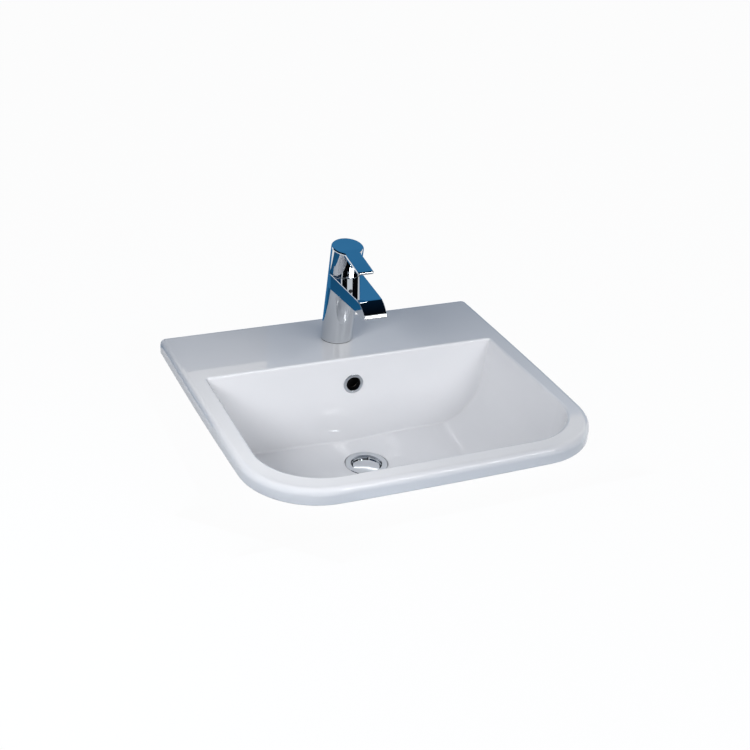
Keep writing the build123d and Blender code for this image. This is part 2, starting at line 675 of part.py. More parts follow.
# Lever spindle: ball at the foot, square in the turret, larger square in the handle.
with BuildPart() as spindle:
    with BuildSketch(tap_plane(SPINDLE_FOOT)):
        Rectangle(SPINDLE_SIDE, SPINDLE_SIDE)
    extrude(amount=SPINDLE_STEP - SPINDLE_FOOT)
    with BuildSketch(tap_plane(SPINDLE_STEP)):
        Rectangle(SPINDLE_HEAD_SIDE, SPINDLE_HEAD_SIDE)
    extrude(amount=SPINDLE_TOP - SPINDLE_STEP)
    with BuildSketch(tap_plane(BALL_LEVEL)):
        Circle(BALL_NECK_RADIUS)
    extrude(amount=SPINDLE_FOOT - BALL_LEVEL)
    with Locations(tap_plane(BALL_LEVEL)):
        Sphere(BALL_RADIUS)
    add(bore(pin_start, pin_end, PIN_RADIUS + SNUG_GAP), mode=Mode.SUBTRACT)
spindle.part.label = "spindle"

# Cartridge housing: plastic shell that holds the discs and guides the turret.
with BuildPart() as cartridge_housing:
    with BuildSketch(tap_plane(FIXED_DISC_LEVEL)):
        Circle(CARTRIDGE_RADIUS - SNUG_GAP)
    extrude(amount=HOUSING_TOP - FIXED_DISC_LEVEL)
    with BuildSketch(tap_plane(HOUSING_TOP)):
        Circle(HOUSING_NECK_RADIUS)
    extrude(amount=HOUSING_NECK_TOP - HOUSING_TOP)
    with BuildSketch(tap_plane(FIXED_DISC_LEVEL)):
        Circle(HOUSING_INNER_RADIUS)
    extrude(amount=HOUSING_CEILING - FIXED_DISC_LEVEL, mode=Mode.SUBTRACT)
    with BuildSketch(tap_plane(FIXED_DISC_LEVEL)):
        Circle(TURRET_RADIUS + RUNNING_GAP)
    extrude(amount=HOUSING_NECK_TOP - FIXED_DISC_LEVEL, mode=Mode.SUBTRACT)
cartridge_housing.part.label = "cartridge_housing"

# Cartridge nut: threaded brass ring with a notched crown.
with BuildPart() as cartridge_nut:
    with BuildSketch(tap_plane(HOUSING_TOP)):
        Circle(NUT_RADIUS - SNUG_GAP)
    extrude(amount=NECK_TOP - HOUSING_TOP)
    with BuildSketch(tap_plane(NECK_TOP)):
        Circle(NUT_CROWN_RADIUS)
        Rectangle(2 * NUT_CROWN_RADIUS, NUT_NOTCH_WIDTH, mode=Mode.SUBTRACT)
        Rectangle(NUT_NOTCH_WIDTH, 2 * NUT_CROWN_RADIUS, mode=Mode.SUBTRACT)
    extrude(amount=TURRET_TOP - NECK_TOP)
    with BuildSketch(tap_plane(HOUSING_TOP)):
        Circle(NUT_BORE_RADIUS)
    extrude(amount=TURRET_TOP - HOUSING_TOP, mode=Mode.SUBTRACT)
cartridge_nut.part.label = "cartridge_nut"

# Dome cover: chrome ball zone round the pivot, which fills the gap when the handle is lifted.
with BuildPart() as dome_cover:
    with Locations(tap_plane(PIVOT)):
        Sphere(DOME_RADIUS)
        Sphere(DOME_INNER_RADIUS, mode=Mode.SUBTRACT)
    split(bisect_by=tap_plane(SHOULDER), keep=Keep.TOP)
    split(bisect_by=tap_plane(DOME_TOP), keep=Keep.BOTTOM)
    with BuildSketch(tap_plane(SHOULDER)):
        Circle(NECK_RADIUS + SNUG_GAP)
    extrude(amount=NECK_TOP - SHOULDER, mode=Mode.SUBTRACT)
dome_cover.part.label = "dome_cover"

# Handle: cap and lever in one casting, hollow, with a square hub for the spindle.
with BuildPart() as handle:
    with BuildSketch(tap_plane(SKIRT_LEVEL)):
        Circle(SKIRT_RADIUS)
    extrude(amount=HANDLE_TOP - SKIRT_LEVEL)
    with BuildSketch(tap_middle):
        with BuildLine():
            Polyline(
                (0, HANDLE_TOP),
                (-LEVER_REACH, HANDLE_TOP),
                (-LEVER_REACH, HANDLE_TOP - LEVER_TIP_THICKNESS),
                (-SKIRT_RADIUS, HANDLE_TOP - CAP_THICKNESS),
                (0, HANDLE_TOP - CAP_THICKNESS),
                (0, HANDLE_TOP),
            )
        make_face()
    extrude(amount=LEVER_HALF_WIDTH, both=True)
    corners = handle.edges().filter_by(Axis(tap_base, tap_axis))
    fillet(corners.filter_by(lambda edge: abs((edge @ 0.5).X) > OVERLAP), LEVER_CORNER_RADIUS)
    rim = handle.edges().filter_by(
        lambda edge: all(abs(tap_level(edge @ u) - HANDLE_TOP) < TOLERANCE for u in (0, 0.5, 1))
    )
    fillet(rim, HANDLE_ROUND)
    with BuildSketch(tap_plane(SKIRT_LEVEL)):
        Circle(SKIRT_INNER_RADIUS)
    extrude(amount=HANDLE_TOP - CAP_THICKNESS - SKIRT_LEVEL, mode=Mode.SUBTRACT)
    with BuildSketch(tap_middle):
        with BuildLine():
            relief_end = RELIEF_START + HUB_RADIUS + SKIRT_RADIUS
            Polyline(
                (RELIEF_START, SKIRT_LEVEL),
                (relief_end, SKIRT_LEVEL + (relief_end - RELIEF_START) * tan(RELIEF_SLOPE)),
                (relief_end, SKIRT_LEVEL),
                (RELIEF_START, SKIRT_LEVEL),
            )
        make_face()
    extrude(amount=SKIRT_RADIUS + OVERLAP, both=True, mode=Mode.SUBTRACT)
    with BuildSketch(tap_plane(HUB_LEVEL)):
        Circle(HUB_RADIUS)
    extrude(amount=HANDLE_TOP - CAP_THICKNESS - HUB_LEVEL)
    add(bore(tap_point(0, 0, SCREW_LEVEL), tap_point(0, SCREW_FRONT, SCREW_LEVEL), SCREW_BOSS_RADIUS))
    with BuildSketch(tap_plane(HUB_LEVEL)):
        Rectangle(SPINDLE_HEAD_SIDE + RUNNING_GAP, SPINDLE_HEAD_SIDE + RUNNING_GAP)
    extrude(amount=SPINDLE_TOP + 2 * RUNNING_GAP - HUB_LEVEL, mode=Mode.SUBTRACT)
    screw_end = tap_point(0, -SPINDLE_HEAD_SIDE / 2 - SNUG_GAP, SCREW_LEVEL)
    screw_head = tap_point(0, SCREW_FRONT, SCREW_LEVEL)
    plug_face = tap_point(0, PLUG_FRONT, SCREW_LEVEL)
    add(bore(screw_end, plug_face, SCREW_RADIUS + SNUG_GAP), mode=Mode.SUBTRACT)
    add(bore(screw_head, plug_face, PLUG_RADIUS + SNUG_GAP), mode=Mode.SUBTRACT)
handle.part.label = "handle"

# Grub screw that clamps the handle on the spindle, with a hexagon socket in front.
with BuildPart() as grub_screw:
    add(bore(screw_end, screw_head, SCREW_RADIUS))
    with BuildSketch(Plane(origin=screw_head, x_dir=(1, 0, 0), z_dir=screw_end - screw_head)):
        RegularPolygon(SCREW_SOCKET_RADIUS, 6)
    extrude(amount=SCREW_SOCKET_DEPTH, mode=Mode.SUBTRACT)
grub_screw.part.label = "grub_screw"

# Index plug that closes the screw hole in the front of the handle.
with BuildPart() as index_plug:
    add(bore(screw_head, plug_face, PLUG_RADIUS))
    fillet(index_plug.edges().filter_by(GeomType.CIRCLE).sort_by_distance(plug_face)[0], PLUG_ROUND)
index_plug.part.label = "index_plug"

# Aerator housing: screws into the spout, with a knurled cap below it.
with BuildPart() as aerator_housing:
    with BuildSketch(Plane.XY.offset(SPOUT_UNDERSIDE - AERATOR_CAP_HEIGHT)):
        with Locations((0, AERATOR_Y)):
            Circle(AERATOR_CAP_RADIUS)
            with PolarLocations(AERATOR_CAP_RADIUS, KNURL_COUNT):
                Circle(KNURL_RADIUS, mode=Mode.SUBTRACT)
    extrude(amount=AERATOR_CAP_HEIGHT)
    with BuildSketch(Plane.XY.offset(SPOUT_UNDERSIDE)):
        with Locations((0, AERATOR_Y)):
            Circle(AERATOR_THREAD_RADIUS - SNUG_GAP)
    extrude(amount=AERATOR_THREAD_HEIGHT - WASHER_THICKNESS)
    with Locations((0, AERATOR_Y, SPOUT_UNDERSIDE)):
        Hole(AERATOR_BORE_RADIUS)
aerator_housing.part.label = "aerator_housing"

# Aerator insert: plastic strainer with a ring of jets.
with BuildPart() as aerator_insert:
    with BuildSketch(Plane.XY.offset(SPOUT_UNDERSIDE - AERATOR_CAP_HEIGHT + INSERT_RECESS)):
        with Locations((0, AERATOR_Y)):
            Circle(AERATOR_BORE_RADIUS - SNUG_GAP)
            Circle(JET_RADIUS, mode=Mode.SUBTRACT)
            for circle_radius, jets in JET_CIRCLES:
                with PolarLocations(circle_radius, jets):
                    Circle(JET_RADIUS, mode=Mode.SUBTRACT)
    extrude(amount=AERATOR_CAP_HEIGHT + AERATOR_THREAD_HEIGHT - WASHER_THICKNESS - INSERT_RECESS)
aerator_insert.part.label = "aerator_insert"

# Aerator washer between the housing and the spout.
with BuildPart() as aerator_washer:
    with BuildSketch(Plane.XY.offset(SPOUT_UNDERSIDE + AERATOR_THREAD_HEIGHT - WASHER_THICKNESS)):
        with Locations((0, AERATOR_Y)):
            Circle(AERATOR_THREAD_RADIUS - SNUG_GAP)
            Circle(AERATOR_CHAMBER_RADIUS, mode=Mode.SUBTRACT)
    extrude(amount=WASHER_THICKNESS)
aerator_washer.part.label = "aerator_washer"

# Threaded stud that holds the tap down.
with BuildPart() as tap_stud:
    with BuildSketch(Plane.XY.offset(STUD_BOTTOM)):
        with Locations((0, STUD_Y)):
            Circle(STUD_RADIUS)
    extrude(amount=STUD_TOP - STUD_BOTTOM)
    chamfer(tap_stud.edges().group_by(Axis.Z)[0], STUD_CHAMFER)
tap_stud.part.label = "tap_stud"

# Horseshoe washer: rubber below the deck, steel plate below the rubber.
deck_underside = RIM_TOP - DECK_THICKNESS
slot_length = HORSESHOE_SLOT_END - TAP_Y + HORSESHOE_RADIUS
with BuildSketch() as horseshoe:
    with Locations((0, TAP_Y)):
        Circle(HORSESHOE_RADIUS)
    with Locations((0, HORSESHOE_SLOT_END - slot_length / 2)):
        Rectangle(2 * HORSESHOE_SLOT_HALF_WIDTH, slot_length, mode=Mode.SUBTRACT)
    with Locations((0, STUD_Y)):
        Circle(STUD_RADIUS + SNUG_GAP, mode=Mode.SUBTRACT)
with BuildPart() as horseshoe_rubber:
    with BuildSketch(Plane.XY.offset(deck_underside - HORSESHOE_RUBBER)):
        add(horseshoe.sketch)
    extrude(amount=HORSESHOE_RUBBER)
horseshoe_rubber.part.label = "horseshoe_rubber"
with BuildPart() as horseshoe_plate:
    with BuildSketch(Plane.XY.offset(deck_underside - HORSESHOE_RUBBER - HORSESHOE_PLATE)):
        add(horseshoe.sketch)
    extrude(amount=HORSESHOE_PLATE)
horseshoe_plate.part.label = "horseshoe_plate"

# Brass nut of the stud.
with BuildPart() as stud_nut:
    nut_bottom = deck_underside - HORSESHOE_RUBBER - HORSESHOE_PLATE - STUD_NUT_HEIGHT
    with BuildSketch(Plane.XY.offset(nut_bottom)):
        with Locations((0, STUD_Y)):
            RegularPolygon(STUD_NUT_FLATS / 2, 6, major_radius=False)
            Circle(STUD_RADIUS + SNUG_GAP, mode=Mode.SUBTRACT)
    extrude(amount=STUD_NUT_HEIGHT)
stud_nut.part.label = "stud_nut"

# Waste body: dished flange, slotted tube and a bridge for the click mechanism.
with BuildPart() as waste_body:
    with BuildSketch(Plane.XZ.offset(-WASTE_Y)):
        with BuildLine():
            Polyline(
                (FLANGE_RADIUS - FLANGE_EDGE, FLANGE_TOP),
                (THROAT_RADIUS + THROAT_TAPER, FLANGE_TOP - THROAT_TAPER),
                (THROAT_RADIUS - THROAT_TAPER, THROAT_SEAT),
                (TUBE_BORE_RADIUS, THROAT_BOTTOM),
                (TUBE_BORE_RADIUS, TUBE_BOTTOM),
                (TUBE_RADIUS, TUBE_BOTTOM),
                (TUBE_RADIUS, TAIL_TOP),
                (TUBE_NECK_RADIUS, TAIL_TOP),
                (TUBE_NECK_RADIUS, THROAT_BOTTOM + THROAT_WALL / 2),
                (THROAT_RADIUS + THROAT_WALL, FLANGE_TOP - FLANGE_THICKNESS),
                (FLANGE_RADIUS, FLANGE_TOP - FLANGE_THICKNESS),
                (FLANGE_RADIUS, FLANGE_TOP - FLANGE_EDGE),
                (FLANGE_RADIUS - FLANGE_EDGE, FLANGE_TOP),
            )
        make_face()
    revolve(axis=waste_axis)
    with BuildSketch(Plane.XY.offset(SLOT_BOTTOM)):
        with Locations((0, WASTE_Y)):
            Rectangle(SLOT_WIDTH, 2 * (TUBE_RADIUS + OVERLAP))
    extrude(amount=DUCT_CEILING - SLOT_BOTTOM, mode=Mode.SUBTRACT)
    with BuildSketch(Plane.XY.offset(BRIDGE_TOP - BRIDGE_THICKNESS)):
        with Locations((0, WASTE_Y)):
            Circle(BRIDGE_HUB_RADIUS)
            Rectangle(2 * (TUBE_BORE_RADIUS + OVERLAP), BRIDGE_RIB_WIDTH)
            Rectangle(BRIDGE_RIB_WIDTH, 2 * (TUBE_BORE_RADIUS + OVERLAP))
            Circle(CLICK_RADIUS + SNUG_GAP, mode=Mode.SUBTRACT)
    extrude(amount=BRIDGE_THICKNESS)
waste_body.part.label = "waste_body"

# Click housing: blind plastic tube that hangs in the bridge by its collar.
with BuildPart() as click_housing:
    with BuildSketch(Plane.XY.offset(CLICK_BOTTOM)):
        with Locations((0, WASTE_Y)):
            Circle(CLICK_RADIUS)
    extrude(amount=CLICK_TOP - CLICK_BOTTOM)
    with BuildSketch(Plane.XY.offset(BRIDGE_TOP)):
        with Locations((0, WASTE_Y)):
            Circle(CLICK_COLLAR_RADIUS)
    extrude(amount=CLICK_COLLAR_HEIGHT)
    with BuildSketch(Plane.XY.offset(CLICK_FLOOR)):
        with Locations((0, WASTE_Y)):
            Circle(CLICK_BORE_RADIUS)
    extrude(amount=CLICK_TOP - CLICK_FLOOR, mode=Mode.SUBTRACT)
click_housing.part.label = "click_housing"

# Click stem: slides in the click housing and screws into the plug.
with BuildPart() as click_stem:
    with BuildSketch(Plane.XY.offset(STEM_BOTTOM)):
        with Locations((0, WASTE_Y)):
            Circle(CLICK_BORE_RADIUS - RUNNING_GAP)
    extrude(amount=STEM_SHOULDER - STEM_BOTTOM)
    with BuildSketch(Plane.XY.offset(STEM_SHOULDER)):
        with Locations((0, WASTE_Y)):
            Circle(STEM_THREAD_RADIUS)
    extrude(amount=STEM_THREAD_TOP - STEM_SHOULDER)
click_stem.part.label = "click_stem"

# Click spring under the stem.
spring_bottom = CLICK_FLOOR + SPRING_WIRE_RADIUS
spring_height = STEM_BOTTOM - CLICK_FLOOR - 2 * SPRING_WIRE_RADIUS
with BuildPart() as click_spring:
    with BuildLine() as coil:
        Helix(
            pitch=spring_height / SPRING_TURNS,
            height=spring_height,
            radius=SPRING_RADIUS,
            center=(0, WASTE_Y, spring_bottom),
        )
    with BuildSketch(Plane(origin=coil.line @ 0, z_dir=coil.line % 0)):
        Circle(SPRING_WIRE_RADIUS)
    sweep(path=coil.line, is_frenet=True)
click_spring.part.label = "click_spring"

# Waste plug: domed disc with a boss for the stem.
plug_bottom = PLUG_DISC_TOP - PLUG_DISC_THICKNESS
with BuildPart() as waste_plug:
    with BuildSketch(Plane.XZ.offset(-WASTE_Y)):
        with BuildLine():
            TangentArc((0, PLUG_DISC_TOP + PLUG_DOME), (PLUG_DISC_RADIUS, PLUG_DISC_TOP), tangent=(1, 0))
            Polyline(
                (PLUG_DISC_RADIUS, PLUG_DISC_TOP),
                (PLUG_DISC_RADIUS, plug_bottom),
                (PLUG_BOSS_RADIUS, plug_bottom),
                (PLUG_BOSS_RADIUS, plug_bottom - PLUG_BOSS_HEIGHT),
                (STEM_THREAD_RADIUS + SNUG_GAP, plug_bottom - PLUG_BOSS_HEIGHT),
                (STEM_THREAD_RADIUS + SNUG_GAP, STEM_THREAD_TOP + RUNNING_GAP),
                (0, STEM_THREAD_TOP + RUNNING_GAP),
                (0, PLUG_DISC_TOP + PLUG_DOME),
            )
        make_face()
    revolve(axis=waste_axis)
    plug_rims = waste_plug.edges().filter_by(
        lambda edge: edge.geom_type == GeomType.CIRCLE and abs(edge.radius - PLUG_DISC_RADIUS) < TOLERANCE
    )
    fillet(plug_rims.sort_by(Axis.Z)[-1], PLUG_EDGE_ROUND)
waste_plug.part.label = "waste_plug"

# Plug seal: black rubber lip under the disc.
with BuildPart() as plug_seal:
    with BuildSketch(Plane.XZ.offset(-WASTE_Y)):
        with BuildLine():
            Polyline(
                (PLUG_BOSS_RADIUS + RUNNING_GAP, plug_bottom),
                (PLUG_DISC_RADIUS + PLUG_SEAL_LIP, plug_bottom),
                (PLUG_DISC_RADIUS, plug_bottom - PLUG_SEAL_THICKNESS),
                (PLUG_BOSS_RADIUS + RUNNING_GAP, plug_bottom - PLUG_SEAL_THICKNESS),
                (PLUG_BOSS_RADIUS + RUNNING_GAP, plug_bottom),
            )
        make_face()
    revolve(axis=waste_axis)
plug_seal.part.label = "plug_seal"

# Flange seal between the waste flange and the china.
with BuildPart() as flange_seal:
    with BuildSketch(Plane.XY.offset(SEAT_FLOOR)):
        with Locations((0, WASTE_Y)):
            Circle(SEAL_OUTER_RADIUS)
            Circle(SEAL_INNER_RADIUS + SNUG_GAP, mode=Mode.SUBTRACT)
    extrude(amount=FLANGE_TOP - FLANGE_THICKNESS - SEAT_FLOOR)
flange_seal.part.label = "flange_seal"

# Lower seal between the china and the backnut.
with BuildPart() as lower_seal:
    with BuildSketch(Plane.XY.offset(BOSS_BOTTOM - LOWER_SEAL_THICKNESS)):
        with Locations((0, WASTE_Y)):
            Circle(LOWER_SEAL_RADIUS)
            Circle(TUBE_RADIUS + SNUG_GAP, mode=Mode.SUBTRACT)
    extrude(amount=LOWER_SEAL_THICKNESS)
lower_seal.part.label = "lower_seal"

# Backnut with four lugs.
with BuildPart() as backnut:
    with BuildSketch(Plane.XY.offset(BOSS_BOTTOM - LOWER_SEAL_THICKNESS - BACKNUT_HEIGHT)):
        with Locations((0, WASTE_Y)):
            Circle(BACKNUT_RADIUS)
            Rectangle(2 * (BACKNUT_RADIUS + BACKNUT_LUG_LENGTH), BACKNUT_LUG_WIDTH)
            Rectangle(BACKNUT_LUG_WIDTH, 2 * (BACKNUT_RADIUS + BACKNUT_LUG_LENGTH))
            Circle(TUBE_RADIUS + SNUG_GAP, mode=Mode.SUBTRACT)
    extrude(amount=BACKNUT_HEIGHT)
backnut.part.label = "backnut"

pieces = (
    basin, overflow_ring, tap_body, tap_gasket, tap_stud, horseshoe_rubber, horseshoe_plate, stud_nut,
    cartridge_seal, cartridge_base, fixed_disc, moving_disc, disc_carrier, turret, pivot_pin, spindle,
    cartridge_housing, cartridge_nut, dome_cover, handle, grub_screw, index_plug, aerator_housing,
    aerator_insert, aerator_washer, waste_body, waste_plug, plug_seal, click_stem, click_spring,
    click_housing, flange_seal, lower_seal, backnut,
)
for piece in pieces:
    export_step(piece.part, f"parts/{piece.part.label}.step")
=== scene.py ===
"""Inset china basin with its mixer tap and click waste, dressed and lit for a studio photograph.

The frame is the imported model: X to the right, Y to the back, Z up, in metres. The origin is the
middle of the worktop cut-out, on the worktop's surface.
"""

import logging
import math
from dataclasses import dataclass, field
from enum import Enum
from typing import Sequence, Union

import bmesh
import bpy
from mathutils import Matrix, Vector


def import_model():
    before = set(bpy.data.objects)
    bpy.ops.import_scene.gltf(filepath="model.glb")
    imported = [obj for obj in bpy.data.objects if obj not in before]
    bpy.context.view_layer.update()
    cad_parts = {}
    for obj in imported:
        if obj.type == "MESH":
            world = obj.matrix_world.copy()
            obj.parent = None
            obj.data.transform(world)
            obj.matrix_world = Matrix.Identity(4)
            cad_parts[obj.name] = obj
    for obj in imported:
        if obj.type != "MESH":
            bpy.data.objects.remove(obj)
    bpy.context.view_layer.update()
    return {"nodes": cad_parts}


MM = 0.001
LOG = logging.getLogger("basin")

Point = tuple[float, float, float]
Setting = Union[bpy.types.NodeSocket, float, Point, tuple[float, float, float, float]]


class Slot(Enum):
    """Material slots of the record."""

    CHINA = "glazed_china"
    CHROME = "chrome"
    BRASS = "brass"
    STEEL = "steel"
    RUBBER = "rubber"
    PALE_PLASTIC = "pale_plastic"
    DARK_PLASTIC = "dark_plastic"
    DISC_CERAMIC = "disc_ceramic"


def linear(hex_colour: str) -> tuple[float, float, float, float]:
    """Turn an sRGB hex colour into linear red, green, blue and alpha.

    Args:
        hex_colour: Colour such as "#E9EBEE".

    Returns:
        Linear colour with an alpha of 1.
    """
    parts = [int(hex_colour[i : i + 2], 16) / 255 for i in (1, 3, 5)]
    red, green, blue = (
        part / 12.92 if part <= 0.04045 else ((part + 0.055) / 1.055) ** 2.4 for part in parts
    )
    return red, green, blue, 1.0


def per_metre(size_mm: float) -> float:
    """Scale of a noise whose features are size_mm across."""
    return 1 / (size_mm * MM)


def add_node(
    tree: bpy.types.NodeTree,
    kind: str,
    inputs: dict[str | int, Setting] | None = None,
    **settings: object,
) -> bpy.types.Node:
    """Add a node with its settings and its inputs.

    Args:
        tree: Node tree that takes the node.
        kind: Blender's type name of the node.
        inputs: Value or linked socket of each named or numbered input.
        settings: Properties of the node.

    Returns:
        The new node.
    """
    node = tree.nodes.new(kind)
    for name, value in settings.items():
        setattr(node, name, value)
    for name, value in (inputs or {}).items():
        if isinstance(value, bpy.types.NodeSocket):
            tree.links.new(value, node.inputs[name])
        else:
            node.inputs[name].default_value = value
    return node


def empty_material(name: str) -> tuple[bpy.types.Material, bpy.types.NodeTree]:
    """Make a material with no nodes.

    Args:
        name: Name of the material.

    Returns:
        The material and its node tree.
    """
    material = bpy.data.materials.new(name)
    material.use_nodes = True
    material.node_tree.nodes.clear()
    return material, material.node_tree


class Join(Enum):
    """How several shares from 0 to 1 are joined into one."""

    ALL = "MULTIPLY"
    ANY = "MAXIMUM"


def joined(
    tree: bpy.types.NodeTree, how: Join, shares: Sequence[bpy.types.NodeSocket]
) -> bpy.types.NodeSocket:
    """Join shares into one.

    Args:
        tree: Node tree of the material.
        how: Whether all the shares have to hold, or any of them.
        shares: The shares, from 0 to 1.

    Returns:
        Socket with the joined share.
    """
    share = shares[0]
    for other in shares[1:]:
        share = add_node(
            tree, "ShaderNodeMath", {0: share, 1: other}, operation=how.value
        ).outputs[0]
    return share


@dataclass(frozen=True)
class Finish:
    """A finish with two close colours in soft patches and a gloss that varies a little.

    The patches are patch_mm across and the fine pattern grain_mm, and each has its detail in
    octaves of finer noise. The bump is bump_mm deep.
    """

    name: str
    slot: Slot
    colour: str
    shade: str
    patch_mm: float
    grain_mm: float
    roughness: float
    roughness_spread: float
    bump_mm: float
    metallic: float = 0.0
    ior: float = 1.5
    patch_detail: float = 3.0
    grain_detail: float = 2.0

    @property
    def roughness_limits(self) -> tuple[float, float]:
        """Lowest and highest roughness."""
        return self.roughness - self.roughness_spread, self.roughness + self.roughness_spread

    def colours(
        self, tree: bpy.types.NodeTree, place: bpy.types.NodeSocket
    ) -> bpy.types.NodeSocket:
        """Blend the two colours in soft patches.

        Args:
            tree: Node tree of the material.
            place: Coordinate of the surface, in metres.

        Returns:
            Colour socket.
        """
        patches = add_node(
            tree,
            "ShaderNodeTexNoise",
            {"Vector": place, "Scale": per_metre(self.patch_mm), "Detail": self.patch_detail},
        ).outputs["Fac"]
        return add_node(
            tree,
            "ShaderNodeMix",
            {"Factor": patches, "A": linear(self.colour), "B": linear(self.shade)},
            data_type="RGBA",
        ).outputs["Result"]

    def pattern(
        self, tree: bpy.types.NodeTree, place: bpy.types.NodeSocket
    ) -> bpy.types.NodeSocket:
        """Height of the fine pattern, from 0 to 1.

        Args:
            tree: Node tree of the material.
            place: Coordinate of the surface, in metres.

        Returns:
            Height socket.
        """
        return add_node(
            tree,
            "ShaderNodeTexNoise",
            {"Vector": place, "Scale": per_metre(self.grain_mm), "Detail": self.grain_detail},
        ).outputs["Fac"]

    def gloss(
        self,
        tree: bpy.types.NodeTree,
        place: bpy.types.NodeSocket,
        height: bpy.types.NodeSocket,
    ) -> bpy.types.NodeSocket:
        """Roughness, which varies with the pattern.

        Args:
            tree: Node tree of the material.
            place: Coordinate of the surface, in metres.
            height: Height of the fine pattern.

        Returns:
            Roughness socket.
        """
        low, high = self.roughness_limits
        return add_node(
            tree, "ShaderNodeMapRange", {"Value": height, "To Min": low, "To Max": high}
        ).outputs["Result"]

    def build(self) -> bpy.types.Material:
        """Make the material.

        Returns:
            The material, ready to be given to a piece.
        """
        material, tree = empty_material(self.name)
        place = add_node(tree, "ShaderNodeTexCoord").outputs["Object"]
        height = self.pattern(tree, place)
        bump = add_node(
            tree, "ShaderNodeBump", {"Height": height, "Distance": self.bump_mm * MM}
        )
        shader = add_node(
            tree,
            "ShaderNodeBsdfPrincipled",
            {
                "Base Color": self.colours(tree, place),
                "Roughness": self.gloss(tree, place, height),
                "Normal": bump.outputs["Normal"],
                "Metallic": self.metallic,
                "IOR": self.ior,
            },
        )
        add_node(tree, "ShaderNodeOutputMaterial", {"Surface": shader.outputs["BSDF"]})
        return material


